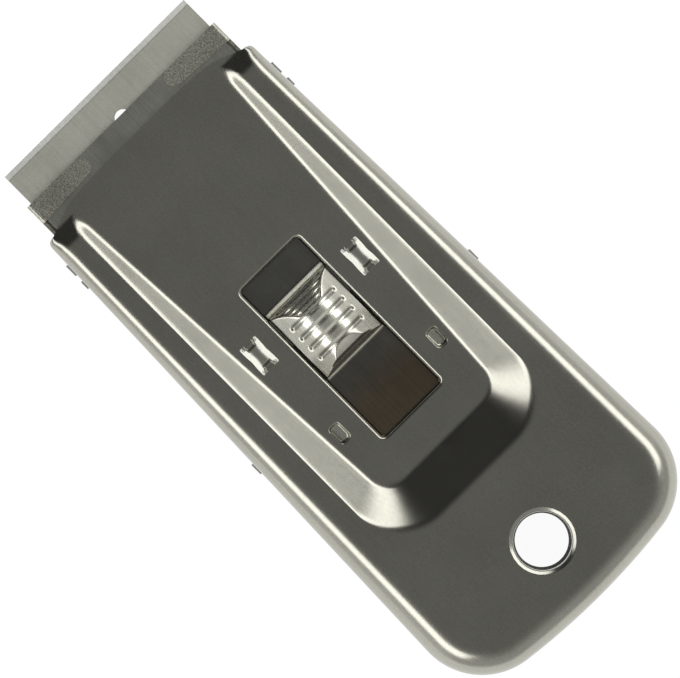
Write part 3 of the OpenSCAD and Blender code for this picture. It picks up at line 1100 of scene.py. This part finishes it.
@dataclass
class ThumbSlider:
    """The slider plate with the ribbed thumb button drawn up from it."""

    top: float = 3.25
    thickness: float = 0.5
    front_s: float = -3.6
    head_rear_s: float = 21.5
    head_hw: float = 18.9
    neck_hw: float = 5.9
    tail_s: float = 60.6
    tail_rear_s: float = 64.2
    tail_hw: float = 11.8
    seam: float = 0.01
    button_s: float = 33.5
    button_len: float = 14.0
    button_h: float = 4.4
    apron_front: float = 2.0
    apron_rear: float = 1.2
    apron_gap: float = 0.1
    crown_r: float = 5.2
    crown_fall: float = 0.9
    crown_s: float = 36.9
    crown_steepening: float = 0.12
    crown_steep_span: Pair = (42.5, 45.0)
    flank_y: float = 2.95
    grooves: int = 4
    groove_power: int = 6
    groove_from_s: float = 36.75
    groove_to_s: float = 44.75
    groove_depth: float = 0.29
    groove_half_l: float = 4.4
    groove_fade: float = 0.35
    land_s: float = 43.9
    land_slope: float = 0.6
    land_blend: float = 0.15
    front_s0: float = 34.05
    front_rise: float = 1.15
    front_flare: float = 1.5
    front_flare_y: float = 5.0
    front_blend: float = 0.5
    bead_s: float = 33.7
    bead_h: float = 0.3
    bead_l: float = 0.3
    step_s: float = 34.125
    step_pitch: float = 0.75
    step_h: float = 0.17
    step_end_s: float = 35.58
    step_end_y: float = 3.55
    step_end_lean: float = 1.05
    step_fade: Pair = (0.3, -0.6)
    rear_foot_s: float = 46.97
    rear_slope: float = 2.1
    rear_fillet: float = 0.35
    rear_blend: float = 0.2
    ledge_s: float = 46.12
    ledge_pitch: float = 0.8
    ledge_h: float = 0.15
    foot_fillet: float = 0.1
    wall_inset: float = 0.05
    wall_slope: float = 12.0
    wall_blend: float = 0.3
    rows: tuple[int, int, int, int, int] = (20, 12, 190, 12, 6)
    columns: int = 131

    def crown_height(self, s: Array, beside: Array) -> Array:
        """Works out the button's crown with its grooves.

        The crown is turned about the slide's axis, goes over into straight flanks and falls slowly to the
        rear. A groove is a power of a sine along the slide, and fades out at both ends.

        Args:
            s: Places behind the lip.
            beside: Distances from the axis.

        Returns:
            The height.
        """
        along = np.clip((s - self.groove_from_s) / (self.groove_to_s - self.groove_from_s), 0, 1)
        end, fade = self.groove_half_l, self.groove_fade
        side = smooth_step(end + fade, end - fade, beside)
        groove = self.groove_depth * np.sin(math.pi * self.grooves * along) ** self.groove_power * side
        turned = np.minimum(beside, self.flank_y)
        hub = np.sqrt(self.crown_r ** 2 - turned ** 2)
        drop = self.crown_r - hub + (beside - turned) * turned / hub
        drop *= 1 + self.crown_steepening * smooth_step(*self.crown_steep_span, s)
        fall = self.crown_fall / self.button_len
        return self.button_h - fall * np.maximum(0, s - self.crown_s) - drop - groove

    def front_height(self, s: Array, beside: Array) -> Array:
        """Works out the button's sloping front, which flares at the sides and has fine steps in its middle.

        The slope grows with the cube of the distance from the axis. The steps are a sine along the slide.

        Args:
            s: Places behind the lip.
            beside: Distances from the axis.

        Returns:
            The height.
        """
        steps = self.step_h * np.sin(2 * math.pi * (s - self.step_s) / self.step_pitch)
        outside = beside - self.step_end_y + self.step_end_lean * (s - self.step_end_s)
        flare = 1 + self.front_flare * (beside / self.front_flare_y) ** 3
        return (s - self.front_s0) * self.front_rise * flare + steps * smooth_step(*self.step_fade, outside)

    def button_lift(self, s: Array, y: Array) -> Array:
        """Works out the button's height above the plate.

        Behind its grooves the crown ends in a sloping land. It is cut by the front with a bead at its foot,
        a steep rear with a ledge, and steep sides. Each cut is rounded.

        Args:
            s: Places behind the lip.
            y: Places beside the axis.

        Returns:
            The height.
        """
        beside = np.abs(y)
        fall = self.crown_fall / self.button_len
        land = self.button_h - fall * (self.land_s - self.crown_s) - self.land_slope * (s - self.land_s)
        top = smooth_min(self.crown_height(s, beside), land, self.land_blend)
        top = smooth_min(top, self.front_height(s, beside), self.front_blend)
        bead = self.bead_h * bell(s - self.bead_s, self.bead_l)
        top = smooth_max(top, bead, self.foot_fillet)
        ledge = self.ledge_h * np.sin(2 * math.pi * (s - self.ledge_s) / self.ledge_pitch)
        rear = self.rear_slope * (self.rear_foot_s - s) + ledge
        top = smooth_min(top, smooth_max(rear, np.zeros_like(s), self.rear_fillet), self.rear_blend)
        walls = (self.neck_hw - self.wall_inset - beside) * self.wall_slope
        return np.maximum(smooth_min(top, walls, self.wall_blend), 0.0)

    def build(self, finish: Material) -> Piece:
        """Lays out the plate as rows across the slide, and lifts the button out of it.

        Args:
            finish: The slider's steel.

        Returns:
            The slider.
        """
        first = self.button_s - self.apron_front
        last = self.button_s + self.button_len + self.apron_rear
        runs = ((self.front_s, self.head_rear_s - self.seam), (self.head_rear_s, first - self.apron_gap),
                (first, last), (last + self.apron_gap, self.tail_s - self.seam),
                (self.tail_s, self.tail_rear_s))
        s = np.concatenate([np.linspace(*run, count) for run, count in zip(runs, self.rows)])
        half = np.where(s < self.head_rear_s - self.seam / 2, self.head_hw,
                        np.where(s < self.tail_s - self.seam / 2, self.neck_hw, self.tail_hw))
        y = half[:, None] * np.linspace(-1, 1, self.columns)
        s_grid = np.broadcast_to(s[:, None], y.shape)
        inside = (s_grid > first - self.apron_gap / 2) & (s_grid < last + self.apron_gap / 2)
        rise = np.where(inside, self.button_lift(s_grid, np.clip(y, -self.neck_hw, self.neck_hw)), 0.0)
        top = np.stack([s_grid, y, self.top + rise], -1)
        work = Patchwork()
        work.add_sheet(top, top - np.array([0.0, 0.0, self.thickness]))
        return place(work.mesh("ribbed_slider", True), Body.SLIDER, "slider_steel", finish, "thumb_slider")


@dataclass
class BladeHolder:
    """The tray under the blade, with two ears folded over the slider's head."""

    half_w: float = 19.9
    bottom: float = 1.35
    wall_top: float = 2.75
    ear_top: float = 3.75
    sheet: float = 0.5
    bend: float = 0.6
    front_s: float = -3.6
    rear_s: float = 21.5
    notch_s: float = -3.05
    notch_r: float = 2.2
    fine_y: float = 2.4
    fine_gap: float = 0.05
    ear_len: float = 11.5
    ear_tip_w: float = 3.0
    ear_root_w: float = 3.5
    ear_crowding: float = 1.6
    edge_round: float = 0.14
    leg_steps: int = 4
    bend_steps: int = 7
    flat_steps: tuple[int, int] = (14, 20)
    tray_rows: int = 12
    ear_bend_steps: int = 9
    ear_steps: int = 34
    ear_rows: int = 13

    def tray_skin(self, inset: float) -> Array:
        """Sweeps the tray's trough from front to rear.

        The section runs down one wall, round a bend, across the bottom and up the other wall. The front edge
        of the bottom is cut back by a round notch.

        Args:
            inset: How far inside the outer skin this one lies.

        Returns:
            The skin's points.
        """
        leg_z = np.linspace(self.wall_top, self.bottom + self.bend, self.leg_steps)[:-1]
        coarse, fine = self.flat_steps
        flat_y = np.concatenate([np.linspace(self.half_w - self.bend, self.fine_y, coarse)[1:],
                                 np.linspace(self.fine_y - self.fine_gap, 0, fine)])
        y, z = channel(self.half_w, self.bottom, self.bend, inset, leg_z, flat_y, self.bend_steps).T
        cut = self.notch_s + np.sqrt(np.maximum(self.notch_r ** 2 - y ** 2, 0))
        notched = (np.abs(y) < self.notch_r) & (z < self.wall_top)
        front = np.where(notched, np.maximum(cut, self.front_s), self.front_s)
        s = straight(front, self.rear_s, np.linspace(0, 1, self.tray_rows)[:, None])
        return np.stack(np.broadcast_arrays(s, y, z), -1)

    def ear_skin(self, side: int, inset: float) -> Array:
        """Folds one ear from the top of the wall over the slider's head.

        The section runs up the wall, round a bend and inwards to the tip. Across it, the ear narrows from
        its root to a round tip.

        Args:
            side: 1 for the +Y ear and -1 for the other.
            inset: How far inside the outer skin this one lies.

        Returns:
            The skin's points.
        """
        root, tip = self.half_w - self.bend, self.half_w - self.ear_len
        wall = np.array([[self.half_w - inset, self.wall_top]])
        turn = heading(quarter(self.ear_bend_steps))
        bend = np.array([root, self.ear_top - self.bend]) + (self.bend - inset) * turn
        flat_y = tip + (root - tip) * np.linspace(1, 0, self.ear_steps)[1:] ** self.ear_crowding
        y, z = np.concatenate([wall, bend, level_run(flat_y, self.ear_top - inset)]).T
        r = self.ear_tip_w / 2
        reach = r * round_start((y - tip) / r)
        grow = (self.ear_root_w - self.ear_tip_w) * np.clip((y - tip - r) / (self.ear_len - r), 0, 1)
        middle = self.front_s + r
        s = straight(middle - reach, middle + reach + grow, np.linspace(0, 1, self.ear_rows)[:, None])
        return np.stack(np.broadcast_arrays(s, side * y, z), -1)

    def build(self, finish: Material) -> Piece:
        """Joins the trough and its two ears.

        Args:
            finish: The holder's steel.

        Returns:
            The holder.
        """
        work = Patchwork()
        work.add_sheet(self.tray_skin(0.0), self.tray_skin(self.sheet))
        for side in (1, -1):
            work.add_sheet(self.ear_skin(side, 0.0), self.ear_skin(side, self.sheet))
        piece = place(work.mesh("blade_holder", True), Body.SLIDER, "holder_steel", finish, "blade_tray")
        soften(piece, self.edge_round)
        return piece


@dataclass
class RazorBlade:
    """The single-edge blade: a thin plate with a round hole and a honed bevel."""

    half_w: float = 19.05
    edge_s: float = -9.3
    back_s: float = 9.3
    middle_z: float = 2.3
    thickness: float = 0.23
    bevel: float = 0.8
    bevel_sharp: float = 3.0
    hole_s: float = -3.05
    hole_r: float = 1.3
    side_steps: int = 60
    face_rings: int = 10

    def ring(self, bevel: float, z: float) -> Array:
        """Traces the blade's outline, with its front drawn back by a bevel.

        Args:
            bevel: How far behind the cutting edge the front lies.
            z: Height of the outline.

        Returns:
            The points, as many along each side.
        """
        front = self.edge_s + bevel
        corners = np.array([[front, -self.half_w], [front, self.half_w], [self.back_s, self.half_w],
                            [self.back_s, -self.half_w], [front, -self.half_w]])
        share = np.linspace(0, 4, 4 * self.side_steps + 1)[:-1]
        return lift(np.stack([np.interp(share, np.arange(5), corners[:, k]) for k in (0, 1)], -1), z)

    def build(self, finish: Material) -> Piece:
        """Leads rings from the hole out to the outline, over the edge and back underneath.

        A ring is the hole's circle drawn towards the outline along rays from the hole's middle.

        Args:
            finish: The blade's steel.

        Returns:
            The blade.
        """
        high, low = self.middle_z + self.thickness / 2, self.middle_z - self.thickness / 2
        upper, lower = self.ring(self.bevel, high), self.ring(self.bevel, low)
        tip = self.ring(0.0, self.middle_z)
        centre = np.array([self.hole_s, 0.0])
        circle = centre + self.hole_r * heading(bearing(upper, centre))
        hole_high, hole_low = lift(circle, high), lift(circle, low)
        rings = np.concatenate([hole_low[None], hole_high[None], between(hole_high, upper, self.face_rings),
                                upper[None], tip[None], lower[None],
                                between(lower, hole_low, self.face_rings)])
        work = Patchwork()
        work.add(rings, wrap_rows=True, wrap_columns=True)
        mesh = work.mesh("razor_blade", True, self.bevel_sharp)
        return place(mesh, Body.BLADE, "blade_steel", finish, "blade")


@dataclass
class PeenedStrap:
    """The guide strap under the slider, with a tab peened over on each side of the slot.

    Sizes whose names end in _u or _v are shares of the tab's half length or half width.
    """

    middle_s: float = 37.0
    half_l: float = 2.6
    bottom: float = 2.1
    top: float = 3.9
    sheet: float = 0.5
    half_w: float = 11.0
    bend: float = 0.7
    floor_z: float = 4.5
    head_y: float = 10.7
    head_half_l: float = 2.65
    head_half_w: float = 1.62
    head_h: float = 0.47
    head_rise: float = 0.02
    head_root: float = 0.55
    head_end_h: float = 0.55
    head_end_u: float = 0.72
    waist: float = 0.06
    waist_u: float = 0.3
    slope_v: Pair = (0.98, 0.68)
    ridge_blend: float = 0.35
    dish: float = 0.08
    dish_v: float = 0.3
    dish_skew: float = 0.15
    dish_gap: float = 0.5
    dish_gap_u: float = 0.25
    notch_u: Pair = (0.5, 0.68)
    notch_v: Pair = (0.52, 0.36)
    notch_dip: float = 0.45
    bridge_h: float = 0.175
    bridge_u: Pair = (0.93, 0.06)
    bridge_v: Pair = (0.7, 0.4)
    knob_h: float = 0.16
    knob_u: Pair = (0.86, 0.09)
    knob_v: Pair = (0.7, 0.16)
    bend_steps: int = 6
    flat_steps: int = 8
    strap_rows: int = 5
    head_grid: tuple[int, int] = (81, 61)

    def strap_skin(self, inset: float) -> Array:
        """Sweeps the strap's shallow channel along the slide: two legs, two bends and a flat middle.

        Args:
            inset: How far inside the outer skin this one lies.

        Returns:
            The skin's points.
        """
        flat_y = np.linspace(self.half_w - self.bend, 0, self.flat_steps)[1:]
        y, z = channel(self.half_w, self.bottom, self.bend, inset, np.array([self.top]), flat_y,
                       self.bend_steps).T
        s = np.linspace(self.middle_s - self.half_l, self.middle_s + self.half_l, self.strap_rows)[:, None]
        return np.stack(np.broadcast_arrays(s, y, z), -1)

    def head_skin(self, side: int) -> tuple[Array, Array]:
        """Shapes a peened tab as a pillow with a dished middle and a notch in each end.

        Across, the height falls in two straight slopes with a rounded ridge. A bell curve dishes the middle,
        both ends round off, a knob stands at each corner, and a smooth notch of the middle third sinks at
        each end to below the floor, with a low bridge at its mouth.

        Args:
            side: 1 for the +Y tab and -1 for the other.

        Returns:
            The upper skin and a flat lower skin.
        """
        u, v = np.meshgrid(*(np.linspace(-1, 1, count) for count in self.head_grid), indexing="ij")
        along, beside = np.abs(u), np.abs(v)
        ridge = smooth_min((self.slope_v[0] - beside) / self.slope_v[1], np.ones_like(v), self.ridge_blend)
        dish = self.dish * bell(v - self.dish_skew * u, self.dish_v)
        dish = dish * (1 - self.dish_gap * bell(u, self.dish_gap_u))
        ends = self.head_end_h + (1 - self.head_end_h) * smooth_step(1.0, self.head_end_u, along)
        notch = smooth_step(*self.notch_u, along) * smooth_step(*self.notch_v, beside)
        bridge = bell(along - self.bridge_u[0], self.bridge_u[1]) * smooth_step(*self.bridge_v, beside)
        knob = self.knob_h * bell(along - self.knob_u[0], self.knob_u[1])
        knob = knob * bell(beside - self.knob_v[0], self.knob_v[1])
        body = self.head_h * (ridge - dish) * ends + knob
        z = (self.floor_z + self.head_rise + body * (1 - notch) - self.notch_dip * notch
             + self.bridge_h * bridge * notch)
        s = self.middle_s + u * self.head_half_l
        y = side * self.head_y + v * (1 - self.waist * bell(u, self.waist_u)) * self.head_half_w
        upper = np.stack([s, y, z], -1)
        lower = upper.copy()
        lower[..., 2] = self.floor_z - self.head_root
        return upper, lower

    def build(self, finish: Material) -> Piece:
        """Joins the strap and its two peened tabs.

        Args:
            finish: The strap's steel.

        Returns:
            The strap.
        """
        work = Patchwork()
        work.add_sheet(self.strap_skin(0.0), self.strap_skin(self.sheet))
        for side in (1, -1):
            work.add_sheet(*self.head_skin(side))
        return place(work.mesh("peened_strap", True), Body.HOUSING, "strap_steel", finish, "guide_strap")


@dataclass
class Studio:
    """The floor, the soft boxes, the backdrop and the camera over the scraper.

    The camera's height, the floor's size and the soft boxes are in metres. A fade gives the room's light at
    the start and at the end of a span of directions, from -1 to 1 along an axis.
    """

    camera_height: float = 1.6
    camera_clip: Pair = (0.01, 20.0)
    sensor: float = 36.0
    pixels_per_mm: float = 6.62
    centre_s: float = 43.8
    centre_y: float = 0.27
    centre_z: float = 4.5
    roll: float = 225.25
    floor_half: float = 3.0
    floor_points: int = 13
    floor_drop: float = 0.1
    floor_grey: float = 0.9
    floor_glow: float = 1.07
    floor_glow_share: float = 0.87
    box_angle: float = 50.0
    box_distance: float = 0.75
    box_forward: float = 0.3
    box_size: Pair = (1.3, 0.3)
    box_power: float = 3.0
    fill: float = 0.55
    side_walls: Fade = (0.75, 0.19, (0.15, 0.75))
    rear_wall: Fade = (0.5, 0.19, (0.35, 0.97))
    rear_share: Fade = (1.0, 0.0, (-0.4, -0.05))
    front_dark: Fade = (1.0, 0.07, (0.15, 0.6))
    skirting: Fade = (0.75, 0.0, (0.02, 0.4))

    def camera(self) -> None:
        """Hangs the camera straight over the scraper, turned so that the blade points up and left."""
        view = bpy.data.cameras.new("camera")
        view.sensor_width = self.sensor
        width = PHOTO_SIZE[0] / self.pixels_per_mm
        view.lens = self.sensor * (self.camera_height / MM) / width
        view.clip_start, view.clip_end = self.camera_clip
        eye = into_scene("camera", view)
        eye.location = ((LIP_X - self.centre_s) * MM, self.centre_y * MM,
                        self.camera_height + self.centre_z * MM)
        eye.rotation_euler = (0.0, 0.0, math.radians(self.roll))
        bpy.context.scene.camera = eye

    def floor(self) -> None:
        """Lays a wide pale floor that is white to the eye and in the steel, and still takes the shadow.

        It lies a tenth of a millimetre under the scraper, and from below it is clear.
        """
        run = np.linspace(-self.floor_half, self.floor_half, self.floor_points)
        u, v = np.meshgrid(run, run, indexing="ij")
        points = np.stack([u, v, np.full_like(u, -self.floor_drop * MM)], -1).reshape(-1, 3)
        faces = grid_faces(self.floor_points, self.floor_points)[:, ::-1]
        mesh = bpy.data.meshes.new("floor")
        mesh.from_pydata(points.tolist(), [], faces.tolist())
        floor = into_scene("floor", mesh)
        material = bpy.data.materials.new("white_floor")
        material.use_nodes = True
        bench = NodeBench(material.node_tree)
        matt = bench.add("ShaderNodeBsdfDiffuse", {"Color": (*(self.floor_grey,) * 3, 1.0)})
        glow = bench.add("ShaderNodeEmission", {"Strength": self.floor_glow})
        seen = bench.sum("MAXIMUM", *bench.rays())
        mix = bench.blend(bench.weigh(seen, 0.0, self.floor_glow_share, (0.0, 1.0)), matt, glow)
        below = bench.add("ShaderNodeNewGeometry").outputs["Backfacing"]
        mix = bench.blend(below, mix, bench.add("ShaderNodeBsdfTransparent"))
        bench.link(mix.outputs[0], bench.add("ShaderNodeOutputMaterial").inputs["Surface"])
        mesh.materials.append(material)

    def soft_boxes(self) -> None:
        """Hangs a long soft box on each side of the scraper, and faces it."""
        angle = math.radians(self.box_angle)
        for side in (-1, 1):
            lamp = bpy.data.lights.new("soft_box", "AREA")
            lamp.shape = "RECTANGLE"
            lamp.size, lamp.size_y = self.box_size
            lamp.energy = self.box_power
            holder = into_scene("soft_box", lamp)
            holder.location = (self.box_forward, side * self.box_distance * math.sin(angle),
                               self.box_distance * math.cos(angle))
            holder.rotation_euler = (-side * angle, 0.0, 0.0)

    def backdrop(self) -> None:
        """Surrounds the scraper with a white room that is dim overhead and dark in front.

        The eye sees white. In the steel the room shows a dim ceiling, a grey rear wall and a dark front above
        a light skirting.
        """
        world = bpy.data.worlds.new("room")
        bpy.context.scene.world = world
        world.use_nodes = True
        bench = NodeBench(world.node_tree)
        x, _, z = bench.split("Generated")
        sides = bench.weigh(z, *self.side_walls, smooth=True)
        rear = bench.weigh(z, *self.rear_wall, smooth=True)
        front = bench.sum("MAXIMUM", bench.weigh(x, *self.front_dark, smooth=True),
                          bench.weigh(z, *self.skirting, smooth=True))
        ceiling = bench.add("ShaderNodeMix", data_type="FLOAT")
        bench.link(bench.weigh(x, *self.rear_share, smooth=True), ceiling.inputs[0])
        bench.link(sides, ceiling.inputs[2])
        bench.link(rear, ceiling.inputs[3])
        room, fill, white = (
            bench.add("ShaderNodeBackground", {"Color": (1.0, 1.0, 1.0, 1.0), "Strength": strength})
            for strength in (1.0, self.fill, 1.0))
        bench.link(bench.sum("MULTIPLY", ceiling.outputs[0], front), room.inputs["Strength"])
        eye, shiny = bench.rays()
        lit = bench.blend(eye, bench.blend(shiny, fill, room), white)
        bench.link(lit.outputs[0], bench.add("ShaderNodeOutputWorld").inputs["Surface"])

    def build(self) -> None:
        """Sets up the whole studio."""
        self.camera()
        self.floor()
        self.soft_boxes()
        self.backdrop()
        bpy.context.scene.view_settings.view_transform = "Standard"


BODY_STEEL = SteelFinish("satin_body_steel", (0.425, 0.42, 0.365), 0.23, mottle=0.05, grain=0.07,
                         relief_strength=0.03, scratches=0.012)
BASE_STEEL = SteelFinish("plain_base_steel", (0.62, 0.615, 0.59), 0.5, mottle=0.05)
STRAP_STEEL = SteelFinish("peened_strap_steel", (0.49, 0.49, 0.44), 0.33, mottle=0.08)
FOOT_GLOSS = ((47.3, 1.0), (47.1, 2.4), (46.75, 2.4), (46.6, 1.0),
              (34.0, 1.0), (33.9, 2.4), (33.45, 2.4), (33.3, 1.0))
SLIDER_STEEL = SteelFinish(
    "slider_steel_painted_light", (0.49, 0.49, 0.44), 0.27, mottle=0.16, relief_strength=0.02, scratches=0.05,
    # Along the height the flat plate is darkened to 0.38 of the tint, painted shade of the slot and shell
    # over it. A band at the button's foot is raised to twice the tint, a painted highlight, with painted
    # shade at 0.7 just above it, and the crown is raised up to 1.8 times towards its top, a painted
    # highlight.
    bands=(Band(Axis.Z, greys((3.26, 0.38), (3.34, 1.0), (3.42, 2.0), (3.54, 2.0),
                              (3.6, 0.7), (4.4, 1.0), (6.2, 1.1), (7.0, 1.8))),
           # Along the slide the rear tongue takes a brown tint of its own, and the head's front, which lies
           # open before the lip, is raised threefold out of the painted shade laid on the plate.
           Band(Axis.X, ((-9.0, (1.06, 0.85, 0.66)), (-4.0, (1.0, 0.98, 0.94)),
                         *greys((40.0, 1.0), (43.0, 3.0))))),
    gloss_band=Band(Axis.X, greys(*((LIP_X - s, factor) for s, factor in FOOT_GLOSS))))
HOLDER_STEEL = SteelFinish("rough_holder_steel", (0.47, 0.465, 0.395), 0.42, mottle=0.15, grain=0.5,
                           grain_scale=4300.0, relief=0.01, relief_strength=0.4)
RIVET_STEEL = SteelFinish("plain_rivet_steel", (0.48, 0.48, 0.46), 0.3)
SPRING_STEEL = SteelFinish("tempered_spring_steel", (0.38, 0.38, 0.39), 0.25)
# The bevel's tint, lighter and bluer than the blade's: partly the hone's own finish and partly a painted
# highlight.
HONE_AND_PAINTED_HIGHLIGHT = (1.15, 1.15, 1.27)
BLADE_STEEL = SteelFinish(
    "ground_blade_steel", (0.71, 0.71, 0.62), 0.52, mottle=0.07,
    # Along the slide a thin line just behind the bevel is darkened to 0.75, and the bevel is lightened,
    # partly a painted highlight.
    bands=(Band(Axis.X, (*greys((53.1, 1.0), (53.22, 0.75), (53.3, 0.75)), (53.36, HONE_AND_PAINTED_HIGHLIGHT), (54.2, HONE_AND_PAINTED_HIGHLIGHT))),),
    gloss_band=Band(Axis.X, greys((53.2, 1.0), (53.36, 1.7), (54.2, 1.7))))
SPINE_STEEL = SteelFinish("folded_spine_steel", (0.48, 0.48, 0.46), 0.32)


def dress_node(node: str, finish: Material) -> None:
    """Gives a CAD node that stays in view its own finish.

    Args:
        node: Name of the node.
        finish: Its steel.
    """
    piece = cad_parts[node]
    piece.data.materials.clear()
    piece.data.materials.append(finish)
    LOG.info("%s: kept from the frame", node)


def main() -> None:
    """Builds the scraper and its studio, and logs the faces of each new piece."""
    logging.basicConfig(level=logging.INFO, format="%(message)s")
    Studio().build()
    PressedShell().build(BODY_STEEL.material())
    PeenedStrap().build(STRAP_STEEL.material())
    ThumbSlider().build(SLIDER_STEEL.material())
    BladeHolder().build(HOLDER_STEEL.material())
    RazorBlade().build(BLADE_STEEL.material())
    kept = {"base_plate": BASE_STEEL, "slider_rivets": RIVET_STEEL, "detent_spring": SPRING_STEEL,
            "blade_spine": SPINE_STEEL}
    for node, finish in kept.items():
        dress_node(node, finish.material())
    bpy.context.view_layer.update()


if __name__ == "__main__":
    main()
